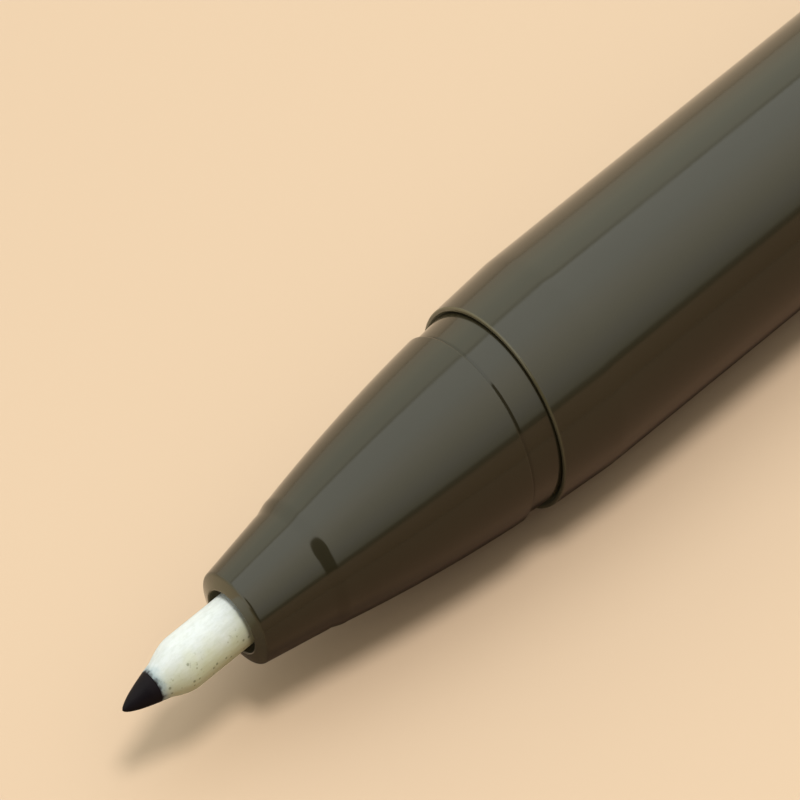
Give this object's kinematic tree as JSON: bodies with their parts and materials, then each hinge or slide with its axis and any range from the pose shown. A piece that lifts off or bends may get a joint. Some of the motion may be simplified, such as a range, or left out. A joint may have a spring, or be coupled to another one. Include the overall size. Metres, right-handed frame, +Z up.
{
  "type": "brush pen",
  "caption": "Fibre-tipped brush pen: tubular barrel, tapered nose section, flexible pointed nib, ink reservoir, and a clip cap posted on its tail.",
  "frame": {"origin": "centre of the flat end of the cap, which is posted on the pen's tail, on the pen's axis", "axes": "+X along the pen's axis, out of the cap's end and away from the nib; +Z up with the pen lying on a table on its cap and clip; -Y towards the clip's side"},
  "size_m": [0.155, 0.0139, 0.0122],
  "materials": {
    "body_plastic": "glossy olive-grey moulded plastic",
    "natural_plastic": "milky unpigmented plastic",
    "nib_fibre": "off-white porous fibre, faintly green where it holds ink",
    "ink": "black ink-filled fibre",
    "reservoir_fibre": "ink-soaked fibre bundle",
    "reservoir_film": "thin clear film"
  },
  "bodies": {
    "barrel": {"barrel": "body_plastic", "tail_plug": "body_plastic", "reservoir_fibre": "reservoir_fibre", "reservoir_film": "reservoir_film"},
    "section": {"nose_section": "body_plastic", "nib_holder": "natural_plastic", "nib_shank": "nib_fibre", "ink_wick": "ink"},
    "nib": {"nib_sleeve": "nib_fibre", "ink_point": "ink"},
    "cap": {"cap_shell": "body_plastic", "cap_inner": "natural_plastic", "cap_crown": "body_plastic"},
    "clip": {"cap_clip": "body_plastic"}
  },
  "joints": [
    {"name": "section_pull", "type": "slide", "parent": "barrel", "child": "section", "axis": [-1, 0, 0], "range_m": [0, 0.013]},
    {"name": "nib_flex", "type": "hinge", "parent": "section", "child": "nib", "pos_m": [-0.14615, 0, 0], "axis": [0, 1, 0], "range_deg": [-8, 8], "stiffness_Nm_per_rad": 0.02},
    {"name": "cap_pull", "type": "slide", "parent": "barrel", "child": "cap", "axis": [1, 0, 0], "range_m": [0, 0.018]},
    {"name": "clip_flex", "type": "hinge", "parent": "cap", "child": "clip", "pos_m": [-0.00185, -0.00449, -0.003], "axis": [0, -0.5557, 0.8314], "range_deg": [0, 5], "stiffness_Nm_per_rad": 0.5}
  ]
}
